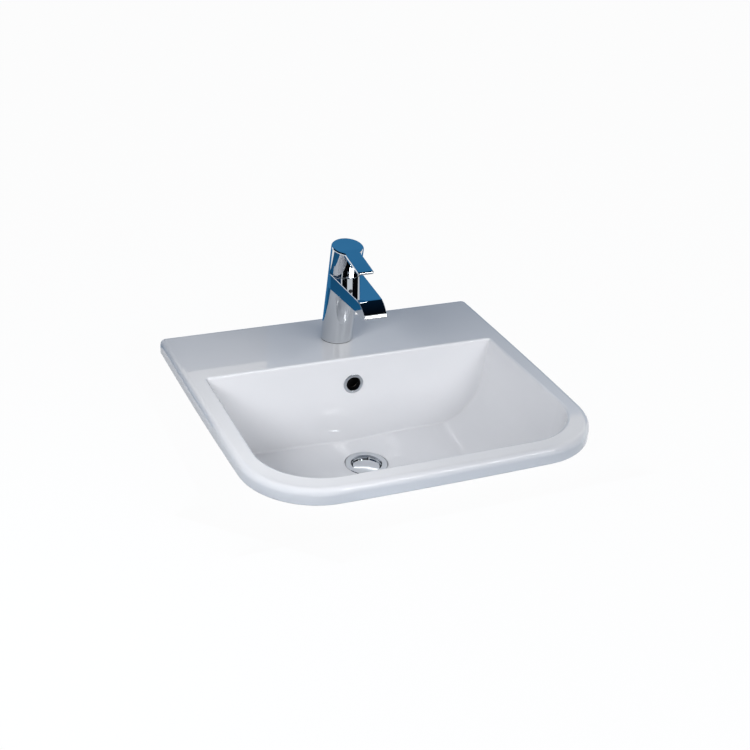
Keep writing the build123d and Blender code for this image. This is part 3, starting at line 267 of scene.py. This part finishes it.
@dataclass(frozen=True)
class Glaze(Finish):
    """Glazed china whose underside was left bare.

    The glaze lies in long soft waves. It stops where the casting faces down, and behind the bowl
    below the deck. The overflow duct was never glazed, and its inside is painted near black as the
    shade of the enclosed hole. Each pair of ends says where a share is 0 and where it is 1.
    """

    grain_detail: float = 1.0
    gloss_detail: float = 2.0
    body_colour: str = "#D9D5CB"
    body_shade: str = "#C9C4B8"
    body_roughness: float = 0.78
    body_grain_mm: float = 1.6
    body_detail: float = 4.0
    body_height: tuple[float, float] = (-1.5, 2.5)
    downward_ends: tuple[float, float] = (-0.35, -0.6)
    leaning_ends: tuple[float, float] = (-0.01, -0.03)
    below_rim_ends: tuple[float, float] = (0.0, -0.006)
    behind_bowl_ends: tuple[float, float] = (0.0945, 0.0965)
    below_deck_ends: tuple[float, float] = (0.0102, 0.0098)
    hollow_half_width: float = 0.237
    hollow_back: float = 0.2175
    # Painted shade: near black inside the overflow duct, where the enclosed hole lies in shade.
    duct_painted_shade: str = "#191817"
    duct_half_size: Point = (0.0206, 0.0061, 0.068)
    duct_middle: Point = (0.0, 0.103, -0.0715)

    def bare(self, tree: bpy.types.NodeTree, place: bpy.types.NodeSocket) -> bpy.types.NodeSocket:
        """Share of bare body, from 0 on the glaze to 1 on the underside.

        Args:
            tree: Node tree of the material.
            place: Coordinate of the surface, in metres.

        Returns:
            Socket with the share.
        """
        facing = add_node(tree, "ShaderNodeTexCoord").outputs["Normal"]
        up = add_node(tree, "ShaderNodeSeparateXYZ", {0: facing}).outputs["Z"]
        spot = add_node(tree, "ShaderNodeSeparateXYZ", {0: place}).outputs
        downward, leaning, below_rim, behind_bowl, below_deck = (
            add_node(
                tree,
                "ShaderNodeMapRange",
                {"Value": value, "From Min": zero_at, "From Max": one_at},
            ).outputs["Result"]
            for value, (zero_at, one_at) in (
                (up, self.downward_ends),
                (up, self.leaning_ends),
                (spot["Z"], self.below_rim_ends),
                (spot["Y"], self.behind_bowl_ends),
                (spot["Z"], self.below_deck_ends),
            )
        )
        across = add_node(tree, "ShaderNodeMath", {0: spot["X"]}, operation="ABSOLUTE").outputs[0]
        within, before_back = (
            add_node(tree, "ShaderNodeMath", {0: value, 1: limit}, operation="LESS_THAN").outputs[0]
            for value, limit in ((across, self.hollow_half_width), (spot["Y"], self.hollow_back))
        )
        bowl = joined(tree, Join.ALL, (leaning, below_rim))
        deck = joined(tree, Join.ALL, (behind_bowl, below_deck, within, before_back))
        return joined(tree, Join.ANY, (downward, bowl, deck))

    def duct(self, tree: bpy.types.NodeTree, place: bpy.types.NodeSocket) -> bpy.types.NodeSocket:
        """Share that is 1 inside the overflow duct, where the colour is painted shade.

        Args:
            tree: Node tree of the material.
            place: Coordinate of the surface, in metres.

        Returns:
            Socket with the share.
        """
        offset = add_node(
            tree, "ShaderNodeVectorMath", {0: place, 1: self.duct_middle}, operation="SUBTRACT"
        ).outputs[0]
        spot = add_node(tree, "ShaderNodeSeparateXYZ", {0: offset}).outputs
        shares = []
        for axis, half in zip("XYZ", self.duct_half_size):
            distance = add_node(tree, "ShaderNodeMath", {0: spot[axis]}, operation="ABSOLUTE")
            inside = add_node(
                tree, "ShaderNodeMath", {0: distance.outputs[0], 1: half}, operation="LESS_THAN"
            )
            shares.append(inside.outputs[0])
        return joined(tree, Join.ALL, shares)

    def colours(
        self, tree: bpy.types.NodeTree, place: bpy.types.NodeSocket
    ) -> bpy.types.NodeSocket:
        """Glaze, bare body, and the duct painted near black as shade.

        Args:
            tree: Node tree of the material.
            place: Coordinate of the surface, in metres.

        Returns:
            Colour socket.
        """
        mottle = add_node(
            tree,
            "ShaderNodeTexNoise",
            {"Vector": place, "Scale": per_metre(self.body_grain_mm), "Detail": self.body_detail},
        ).outputs["Fac"]
        body = add_node(
            tree,
            "ShaderNodeMix",
            {"Factor": mottle, "A": linear(self.body_colour), "B": linear(self.body_shade)},
            data_type="RGBA",
        ).outputs["Result"]
        colour = super().colours(tree, place)
        # The bare body, then the painted shade inside the overflow duct.
        for share, layer in (
            (self.bare(tree, place), body),
            (self.duct(tree, place), linear(self.duct_painted_shade)),
        ):
            colour = add_node(
                tree,
                "ShaderNodeMix",
                {"Factor": share, "A": colour, "B": layer},
                data_type="RGBA",
            ).outputs["Result"]
        return colour

    def pattern(
        self, tree: bpy.types.NodeTree, place: bpy.types.NodeSocket
    ) -> bpy.types.NodeSocket:
        """Long waves of the glaze, and the grain of the bare body.

        Args:
            tree: Node tree of the material.
            place: Coordinate of the surface, in metres.

        Returns:
            Height socket.
        """
        grain = add_node(
            tree,
            "ShaderNodeTexNoise",
            {"Vector": place, "Scale": per_metre(self.body_grain_mm), "Detail": self.body_detail},
        ).outputs["Fac"]
        low, high = self.body_height
        rough = add_node(
            tree, "ShaderNodeMapRange", {"Value": grain, "To Min": low, "To Max": high}
        ).outputs["Result"]
        return add_node(
            tree,
            "ShaderNodeMix",
            {
                "Factor": self.bare(tree, place),
                "A": super().pattern(tree, place),
                "B": rough,
            },
            data_type="FLOAT",
        ).outputs["Result"]

    def gloss(
        self,
        tree: bpy.types.NodeTree,
        place: bpy.types.NodeSocket,
        height: bpy.types.NodeSocket,
    ) -> bpy.types.NodeSocket:
        """Clear gloss on the glaze, matt on the bare body and in the duct.

        Args:
            tree: Node tree of the material.
            place: Coordinate of the surface, in metres.
            height: Height of the fine pattern, which the glaze doesn't follow.

        Returns:
            Roughness socket.
        """
        soft = add_node(
            tree,
            "ShaderNodeTexNoise",
            {"Vector": place, "Scale": per_metre(self.patch_mm), "Detail": self.gloss_detail},
        ).outputs["Fac"]
        low, high = self.roughness_limits
        clear = add_node(
            tree, "ShaderNodeMapRange", {"Value": soft, "To Min": low, "To Max": high}
        ).outputs["Result"]
        matt = joined(tree, Join.ANY, (self.bare(tree, place), self.duct(tree, place)))
        return add_node(
            tree,
            "ShaderNodeMapRange",
            {"Value": matt, "To Min": clear, "To Max": self.body_roughness},
        ).outputs["Result"]


@dataclass(frozen=True)
class Polished(Finish):
    """A plated mirror: long waves of the casting under it, and hairlines that soften the gloss.

    The hairlines are the wipe marks of a cloth. They are ten times as long as they are wide, and
    the noise between mark_ends makes them.
    """

    hairline_mm: float = 0.8
    hairline_detail: float = 3.0
    wipe_turn: Point = (0.4, 0.9, 0.0)
    wipe_scale: Point = (1.0, 1.0, 0.1)
    mark_ends: tuple[float, float] = (0.35, 0.75)

    def gloss(
        self,
        tree: bpy.types.NodeTree,
        place: bpy.types.NodeSocket,
        height: bpy.types.NodeSocket,
    ) -> bpy.types.NodeSocket:
        """Roughness with faint wipe marks.

        Args:
            tree: Node tree of the material.
            place: Coordinate of the surface, in metres.
            height: Height of the fine pattern, which the marks don't follow.

        Returns:
            Roughness socket.
        """
        stretched = add_node(
            tree,
            "ShaderNodeMapping",
            {"Vector": place, "Rotation": self.wipe_turn, "Scale": self.wipe_scale},
        ).outputs["Vector"]
        marks = add_node(
            tree,
            "ShaderNodeTexNoise",
            {
                "Vector": stretched,
                "Scale": per_metre(self.hairline_mm),
                "Detail": self.hairline_detail,
            },
        ).outputs["Fac"]
        first, last = self.mark_ends
        low, high = self.roughness_limits
        return add_node(
            tree,
            "ShaderNodeMapRange",
            {
                "Value": marks,
                "From Min": first,
                "From Max": last,
                "To Min": low,
                "To Max": high,
            },
        ).outputs["Result"]


@dataclass(frozen=True)
class Turned(Finish):
    """Metal from the lathe: fine rings round the piece's own axis."""

    centre: Point = (0.0, 0.0, 0.0)
    axis: Point = (0.0, 0.0, 1.0)
    feed_mm: float = 0.6

    def pattern(
        self, tree: bpy.types.NodeTree, place: bpy.types.NodeSocket
    ) -> bpy.types.NodeSocket:
        """Tool marks, both along the axis and outwards on the end faces.

        Args:
            tree: Node tree of the material.
            place: Coordinate of the surface, in metres.

        Returns:
            Height socket.
        """
        arm = add_node(
            tree, "ShaderNodeVectorMath", {0: place, 1: self.centre}, operation="SUBTRACT"
        ).outputs[0]
        along = add_node(
            tree, "ShaderNodeVectorMath", {0: arm, 1: self.axis}, operation="DOT_PRODUCT"
        ).outputs["Value"]
        side = add_node(
            tree, "ShaderNodeVectorMath", {0: arm, 1: self.axis}, operation="CROSS_PRODUCT"
        ).outputs[0]
        out = add_node(
            tree, "ShaderNodeVectorMath", {0: side}, operation="LENGTH"
        ).outputs["Value"]
        travel = add_node(
            tree, "ShaderNodeMath", {0: along, 1: out}, operation="ADD"
        ).outputs[0]
        turns = add_node(
            tree,
            "ShaderNodeMath",
            {0: travel, 1: per_metre(self.feed_mm) * math.tau},
            operation="MULTIPLY",
        ).outputs[0]
        wave = add_node(tree, "ShaderNodeMath", {0: turns}, operation="SINE").outputs[0]
        return add_node(
            tree, "ShaderNodeMapRange", {"Value": wave, "From Min": -1.0, "From Max": 1.0}
        ).outputs["Result"]


@dataclass(frozen=True)
class Crystalline(Finish):
    """Zinc plate: small crystals that differ a little in tone and gloss."""

    def colours(
        self, tree: bpy.types.NodeTree, place: bpy.types.NodeSocket
    ) -> bpy.types.NodeSocket:
        """Two greys, one crystal from the next.

        Args:
            tree: Node tree of the material.
            place: Coordinate of the surface, in metres.

        Returns:
            Colour socket.
        """
        tone = self.pattern(tree, place)
        return add_node(
            tree,
            "ShaderNodeMix",
            {"Factor": tone, "A": linear(self.colour), "B": linear(self.shade)},
            data_type="RGBA",
        ).outputs["Result"]

    def pattern(
        self, tree: bpy.types.NodeTree, place: bpy.types.NodeSocket
    ) -> bpy.types.NodeSocket:
        """Tone and height of each crystal, from 0 to 1.

        Args:
            tree: Node tree of the material.
            place: Coordinate of the surface, in metres.

        Returns:
            Socket with the tone.
        """
        cells = add_node(
            tree, "ShaderNodeTexVoronoi", {"Vector": place, "Scale": per_metre(self.grain_mm)}
        )
        return add_node(
            tree, "ShaderNodeSeparateColor", {0: cells.outputs["Color"]}
        ).outputs[0]


TAP_FOOT: Point = (0.0, 0.158, 0.022)
TAP_LEAN = math.radians(9.7)
TAP_AXIS: Point = (0.0, -math.sin(TAP_LEAN), math.cos(TAP_LEAN))
STUD_FOOT: Point = (0.0, 0.164, 0.0)
WASTE_CENTRE: Point = (0.0, 0.0235, 0.0)

# Vitreous china, slip cast, sprayed with glaze and fired: the glaze gives a clear sharp reflection
# in long waves over a soft cold white, and the bare body below is matt, warm and grainy.
GLAZED_CHINA = Glaze(
    "glazed vitreous china", Slot.CHINA, "#E9E9EB", "#E1E2E5",
    110, 38, 0.05, 0.015, 0.03, ior=1.54,
)
# Brass casting, polished and plated with nickel and chromium: a mirror with a cold tint.
CHROME_PLATE = Polished(
    "bright chrome plate", Slot.CHROME, "#DCDFE2", "#D4D8DC",
    40, 11, 0.035, 0.02, 0.006, metallic=1.0,
)
# Brass turned from bar: warm metal in fine rings. The real feed of 0.15 mm is drawn as 0.6 mm, so
# that it shows.
TURNED_BRASS = Turned(
    "turned brass", Slot.BRASS, "#C9A663", "#B58F4A",
    9, 0.9, 0.28, 0.08, 0.012, metallic=1.0,
    centre=TAP_FOOT, axis=TAP_AXIS,
)
STUD_BRASS = Turned(
    "milled brass nut", Slot.BRASS, "#C7A25E", "#B08A47",
    9, 0.9, 0.3, 0.08, 0.012, metallic=1.0, centre=STUD_FOOT,
)
# Steel rolled and zinc plated: a dull bluish grey in crystals a millimetre or two across.
ZINC_STEEL = Crystalline(
    "zinc plated steel", Slot.STEEL, "#B9BEC4", "#9FA4AA",
    8, 1.4, 0.36, 0.1, 0.006, metallic=1.0,
)
# Stainless steel turned and drawn: brighter than zinc, with the rings of the lathe.
TURNED_STEEL = Turned(
    "turned stainless steel", Slot.STEEL, "#C6C8CA", "#B2B4B7",
    7, 0.8, 0.24, 0.07, 0.01, metallic=1.0,
    centre=TAP_FOOT, axis=TAP_AXIS,
)
STEM_STEEL = Turned(
    "drawn stainless steel", Slot.STEEL, "#C4C6C9", "#AFB2B5",
    7, 0.8, 0.26, 0.07, 0.01, metallic=1.0, centre=WASTE_CENTRE,
)
# Nitrile rubber, press moulded: near black and matt, with a bloom that greys it in patches.
MOULDED_RUBBER = Finish(
    "moulded nitrile rubber", Slot.RUBBER, "#171718", "#26262A", 7, 0.7, 0.62, 0.1, 0.02
)
# Acetal, injection moulded: a waxy off white with a fine spark-eroded grain, drawn at 0.9 mm, so
# that it shows.
ACETAL = Finish(
    "moulded acetal", Slot.PALE_PLASTIC, "#E6E4DC", "#D9D6CC",
    12, 0.9, 0.38, 0.07, 0.01, ior=1.48,
)
# Nylon filled with glass, injection moulded: dark grey, with fibres that roughen it.
GLASS_FILLED = Finish(
    "glass filled nylon", Slot.DARK_PLASTIC, "#232427", "#34353A",
    4, 0.9, 0.48, 0.1, 0.02, ior=1.53,
)
# Alumina, sintered and lapped flat: a warm white with a silky gloss.
LAPPED_ALUMINA = Finish(
    "lapped alumina", Slot.DISC_CERAMIC, "#F1EFE9", "#E4E0D6",
    8, 0.8, 0.2, 0.05, 0.002, ior=1.76,
)


class Wardrobe:
    """Builds each finish once and puts it on the pieces."""

    def __init__(self) -> None:
        """Start with no material built."""
        self.built: dict[str, bpy.types.Material] = {}

    def dress(self, piece: bpy.types.Object, finish: Finish) -> None:
        """Give a piece its finish.

        Args:
            piece: Mesh that takes the finish.
            finish: The finish.
        """
        if finish.name not in self.built:
            self.built[finish.name] = finish.build()
        piece.data.materials.clear()
        piece.data.materials.append(self.built[finish.name])
        LOG.info("%s: %s, slot %s", piece.name, finish.name, finish.slot.value)


@dataclass
class SubAssembly:
    """Part of the object whose nodes are carried over from the frame."""

    nodes: dict[str, bpy.types.Object]
    wardrobe: Wardrobe

    def dress_nodes(self, finishes: dict[str, Finish]) -> None:
        """Dress carried-over nodes.

        Args:
            finishes: Finish of each node, by the node's name.
        """
        for name, finish in finishes.items():
            self.wardrobe.dress(self.nodes[name], finish)


@dataclass
class Basin(SubAssembly):
    """The china casting and the ring of its overflow."""

    def build(self) -> None:
        """Dress the basin."""
        self.dress_nodes({"basin": GLAZED_CHINA, "overflow_ring": CHROME_PLATE})


@dataclass
class MixerTap(SubAssembly):
    """The tap with its cartridge, handle and aerator."""

    def build(self) -> None:
        """Dress the tap from the outside in."""
        self.dress_nodes(
            {
                "tap_body": CHROME_PLATE,
                "handle": CHROME_PLATE,
                "dome_cover": CHROME_PLATE,
                "index_plug": GLASS_FILLED,
                "aerator_housing": CHROME_PLATE,
                "aerator_insert": ACETAL,
                "aerator_washer": MOULDED_RUBBER,
                "tap_gasket": MOULDED_RUBBER,
                "cartridge_nut": TURNED_BRASS,
                "cartridge_housing": ACETAL,
                "cartridge_base": ACETAL,
                "cartridge_seal": MOULDED_RUBBER,
                "fixed_disc": LAPPED_ALUMINA,
                "moving_disc": LAPPED_ALUMINA,
                "disc_carrier": ACETAL,
                "turret": ACETAL,
                "pivot_pin": TURNED_STEEL,
                "spindle": TURNED_STEEL,
                "grub_screw": ZINC_STEEL,
            }
        )


@dataclass
class TapFixing(SubAssembly):
    """The stud, washer and nut that hold the tap on the deck."""

    def build(self) -> None:
        """Dress the fixing."""
        self.dress_nodes(
            {
                "tap_stud": ZINC_STEEL,
                "horseshoe_rubber": MOULDED_RUBBER,
                "horseshoe_plate": ZINC_STEEL,
                "stud_nut": STUD_BRASS,
            }
        )


@dataclass
class ClickWaste(SubAssembly):
    """The waste with its plug, click mechanism, seals and backnut."""

    def build(self) -> None:
        """Dress the waste."""
        self.dress_nodes(
            {
                "waste_body": CHROME_PLATE,
                "waste_plug": CHROME_PLATE,
                "plug_seal": MOULDED_RUBBER,
                "click_stem": STEM_STEEL,
                "click_spring": STEM_STEEL,
                "click_housing": ACETAL,
                "flange_seal": MOULDED_RUBBER,
                "lower_seal": MOULDED_RUBBER,
                "backnut": GLASS_FILLED,
            }
        )


@dataclass
class PhotoCamera:
    """The camera of the photograph."""

    lens_mm: float = 58.8
    sensor_mm: float = 36.0
    place: Point = (-0.6360, -1.3574, 0.8141)
    target: Point = (0.00697, 0.02811, 0.022)
    roll: float = math.radians(3.6)

    def build(self) -> None:
        """Make the camera and hand it to the scene."""
        data = bpy.data.cameras.new("photo camera")
        data.lens = self.lens_mm
        data.sensor_width = self.sensor_mm
        camera = bpy.data.objects.new("photo camera", data)
        bpy.context.scene.collection.objects.link(camera)
        backward = (Vector(self.place) - Vector(self.target)).normalized()
        right = Vector((0, 0, 1)).cross(backward).normalized()
        up = backward.cross(right)
        turned_right = math.cos(self.roll) * right + math.sin(self.roll) * up
        turned_up = math.cos(self.roll) * up - math.sin(self.roll) * right
        axes = Matrix((turned_right, turned_up, backward)).transposed().to_4x4()
        camera.matrix_world = Matrix.Translation(self.place) @ axes
        bpy.context.scene.camera = camera


@dataclass
class Lamp:
    """A soft box: a flat lamp that faces a point on the object.

    A lamp that isn't glossy lights the object and leaves no reflection of itself on it.
    """

    name: str
    place: Point
    size: tuple[float, float]
    watts: float
    colour: str = "#FFFFFF"
    aim: Point = (0.0, 0.0, 0.0)
    glossy: bool = True

    def build(self) -> None:
        """Make the lamp."""
        data = bpy.data.lights.new(self.name, "AREA")
        data.shape = "RECTANGLE"
        data.size, data.size_y = self.size
        data.energy = self.watts
        data.color = linear(self.colour)[:3]
        lamp = bpy.data.objects.new(self.name, data)
        bpy.context.scene.collection.objects.link(lamp)
        lamp.location = self.place
        towards = Vector(self.aim) - Vector(self.place)
        lamp.rotation_euler = towards.to_track_quat("-Z", "Y").to_euler()
        lamp.visible_glossy = self.glossy


@dataclass
class Card:
    """A board beside the object, as a studio's reflectors and flags.

    It is a rectangle of two sides that start in one corner. Its colour runs from the foot of the
    second side to its end. Only glossy surfaces see it, and it casts no shadow. A board that
    shades does the reverse: nothing sees it, and it keeps the lamps off the foot of the rim.
    """

    name: str
    corner: Point
    along: Point
    up: Point
    low_colour: str = "#000000"
    high_colour: str = "#000000"
    shades: bool = False

    def build(self) -> None:
        """Make the board."""
        mesh = bpy.data.meshes.new(self.name)
        start, along, up = Vector(self.corner), Vector(self.along), Vector(self.up)
        corners = [start, start + along, start + along + up, start + up]
        mesh.from_pydata([corner[:] for corner in corners], [], [(0, 1, 2, 3)])
        card = bpy.data.objects.new(self.name, mesh)
        bpy.context.scene.collection.objects.link(card)
        card.visible_camera = False
        card.visible_diffuse = False
        card.visible_shadow = self.shades
        card.visible_glossy = not self.shades
        material, tree = empty_material(self.name)
        place = add_node(tree, "ShaderNodeTexCoord").outputs["Object"]
        reach = add_node(
            tree, "ShaderNodeVectorMath", {0: place, 1: self.corner}, operation="SUBTRACT"
        )
        height = add_node(
            tree,
            "ShaderNodeVectorMath",
            {0: reach.outputs[0], 1: (up / up.length_squared)[:]},
            operation="DOT_PRODUCT",
        )
        colour = add_node(
            tree,
            "ShaderNodeMix",
            {
                "Factor": height.outputs["Value"],
                "A": linear(self.low_colour),
                "B": linear(self.high_colour),
            },
            data_type="RGBA",
        )
        glow = add_node(tree, "ShaderNodeEmission", {"Color": colour.outputs["Result"]})
        add_node(tree, "ShaderNodeOutputMaterial", {"Surface": glow.outputs["Emission"]})
        mesh.materials.append(material)


@dataclass
class Studio:
    """White studio: worktop-high floor, soft boxes, and boards that the object mirrors.

    The floor's drop keeps it just clear of the rim's foot. Its glow is the share of white in what
    the camera sees of it, and the rest is paint, which takes the object's shadow.
    """

    floor_side: float = 12.0
    floor_drop: float = 0.0002
    floor_colour: str = "#C3D2E2"
    floor_seen_colour: str = "#FFFFFF"
    floor_glow: float = 0.97
    cutout_half_width: float = 0.243
    cutout_back: float = 0.223
    cutout_front: float = -0.224
    cutout_front_radius: float = 0.094
    cutout_corner_steps: int = 12
    backdrop_colour: str = "#FDFEFE"
    sky_colour: str = "#DCE8FA"
    sky_strength: float = 0.23
    lamps: list[Lamp] = field(
        default_factory=lambda: [
            Lamp("front soft box", (0.72, -1.16, 1.16), (1.1, 0.14), 8.0),
            Lamp("left soft box", (-0.7, -0.42, 0.5), (0.4, 0.3), 5.0, glossy=False),
            Lamp("low soft box", (0.1, -1.3, 0.45), (1.4, 0.3), 7.2, glossy=False),
        ]
    )
    cards: list[Card] = field(
        default_factory=lambda: [
            # Boards behind, beside and above, blue but for the dark ceiling. The handle, the spout
            # and the left flank of the tap's body mirror them.
            Card(
                "back board", (-0.08, 0.24, 0.0), (1.0, 0.0, 0.0), (0.0, 0.0, 0.285),
                "#2B6E9E", "#3B7DAD",
            ),
            Card(
                "low back board", (-0.27, 0.24, 0.0), (0.19, 0.0, 0.0), (0.0, 0.0, 0.09),
                "#1F5F8A", "#1C4E74",
            ),
            Card(
                "left board", (-0.27, 0.0, 0.0), (0.0, 0.24, 0.0), (0.0, 0.0, 0.045),
                "#1F5F8A", "#1C4E74",
            ),
            Card(
                "ceiling", (-1.3, -1.2, 1.5), (2.6, 0.0, 0.0), (0.0, 2.4, 0.0),
                "#050608", "#071A2C",
            ),
            Card(
                "high left board", (-1.3, -1.2, 0.35), (0.0, 2.4, 0.0), (0.0, 0.0, 1.15),
                "#123F66", "#071A2C",
            ),
            Card(
                "high back board", (-1.3, 1.2, 1.03), (2.6, 0.0, 0.0), (0.0, 0.0, 0.47),
                "#3B7DAD", "#2B6E9E",
            ),
            # Black flags in front and to the right, which the nose of the spout mirrors.
            Card(
                "front flag", (-1.2, -1.5, 0.75), (2.6, 0.0, 0.0), (0.0, 0.1, 0.75),
                "#08090B", "#050608",
            ),
            Card(
                "low front flag", (-1.2, -1.5, 0.2), (1.15, 0.0, 0.0), (0.0, 0.0, 0.55),
                "#08090B", "#050608",
            ),
            Card(
                "right flag", (1.1, -1.4, 0.35), (0.0, 1.5, 0.0), (0.0, 0.0, 1.2),
                "#0A0B0D", "#050608",
            ),
            # Skirts outside the rim, which keep its outer faces darker than its top.
            Card(
                "front skirt", (-0.3, -0.29, 0.0), (0.56, 0.0, 0.0), (0.0, 0.0, 0.054),
                shades=True,
            ),
            Card(
                "left skirt", (-0.3, 0.25, 0.0), (0.0, -0.48, 0.0), (0.0, 0.0, 0.064),
                shades=True,
            ),
            Card(
                "corner skirt", (-0.34, -0.19, 0.0), (0.15, -0.15, 0.0), (0.0, 0.0, 0.085),
                shades=True,
            ),
        ]
    )

    def seen_directly(self, tree: bpy.types.NodeTree) -> bpy.types.NodeSocket:
        """Share that is 1 for the camera, and for rays that left metal or glass.

        Args:
            tree: Node tree of the floor or the world.

        Returns:
            Socket with the share.
        """
        path = add_node(tree, "ShaderNodeLightPath").outputs
        rays = [path[name] for name in ("Is Camera Ray", "Is Glossy Ray", "Is Transmission Ray")]
        return joined(tree, Join.ANY, rays)

    def build_world(self) -> None:
        """Make the world: white to look at, and a soft sky light on the object."""
        world = bpy.data.worlds.new("studio")
        world.use_nodes = True
        tree = world.node_tree
        tree.nodes.clear()
        sky = add_node(
            tree,
            "ShaderNodeBackground",
            {"Color": linear(self.sky_colour), "Strength": self.sky_strength},
        )
        white = add_node(
            tree, "ShaderNodeBackground", {"Color": linear(self.backdrop_colour), "Strength": 1.0}
        )
        both = add_node(
            tree,
            "ShaderNodeMixShader",
            {0: self.seen_directly(tree), 1: sky.outputs[0], 2: white.outputs[0]},
        )
        add_node(tree, "ShaderNodeOutputWorld", {"Surface": both.outputs[0]})
        bpy.context.scene.world = world

    def cutout(self) -> list[tuple[float, float]]:
        """Outline of the worktop's cut-out, hidden under the foot of the rim.

        Returns:
            Points against the clock, from the back left corner.
        """
        radius = self.cutout_front_radius
        steps = self.cutout_corner_steps
        outline = [(-self.cutout_half_width, self.cutout_back)]
        for side, first in ((-1, 180), (1, 270)):
            middle = (side * (self.cutout_half_width - radius), self.cutout_front + radius)
            for step in range(steps + 1):
                turn = math.radians(first + 90 * step / steps)
                x, y = radius * math.cos(turn), radius * math.sin(turn)
                outline.append((middle[0] + x, middle[1] + y))
        outline.append((self.cutout_half_width, self.cutout_back))
        return outline

    def build_floor(self) -> None:
        """Make the pale floor, level with the worktop that the rim stands on."""
        mesh = bpy.data.meshes.new("floor")
        form = bmesh.new()
        half = self.floor_side / 2
        outer = [(-half, half), (-half, -half), (half, -half), (half, half)]
        loops = []
        for outline in (outer, self.cutout()):
            points = [form.verts.new((x, y, -self.floor_drop)) for x, y in outline]
            loops += [form.edges.new((a, b)) for a, b in zip(points, points[1:] + points[:1])]
        bmesh.ops.triangle_fill(form, edges=loops, use_beauty=True)
        form.to_mesh(mesh)
        form.free()
        floor = bpy.data.objects.new("floor", mesh)
        bpy.context.scene.collection.objects.link(floor)
        material, tree = empty_material("pale floor")
        paint = add_node(tree, "ShaderNodeBsdfDiffuse", {"Color": linear(self.floor_colour)})
        glow = add_node(
            tree, "ShaderNodeEmission", {"Color": linear(self.floor_seen_colour), "Strength": 1.0}
        )
        share = add_node(
            tree,
            "ShaderNodeMath",
            {0: self.seen_directly(tree), 1: self.floor_glow},
            operation="MULTIPLY",
        )
        both = add_node(
            tree,
            "ShaderNodeMixShader",
            {0: share.outputs[0], 1: paint.outputs[0], 2: glow.outputs[0]},
        )
        add_node(tree, "ShaderNodeOutputMaterial", {"Surface": both.outputs[0]})
        mesh.materials.append(material)

    def build(self) -> None:
        """Make the whole studio."""
        self.build_world()
        self.build_floor()
        for item in (*self.lamps, *self.cards):
            item.build()
        bpy.context.scene.view_settings.view_transform = "Standard"


def corners(box: tuple[Vector, Vector]) -> list[list[float]]:
    """Lowest and highest corner as plain lists."""
    return [list(corner) for corner in box]


def main() -> None:
    """Load the frame, dress each sub-assembly and light it."""
    logging.basicConfig(level=logging.INFO, format="%(name)s: %(message)s")
    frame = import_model()
    wardrobe = Wardrobe()
    for assembly in (Basin, MixerTap, TapFixing, ClickWaste):
        assembly(frame["nodes"], wardrobe).build()
    PhotoCamera().build()
    Studio().build()


if __name__ == "__main__":
    main()
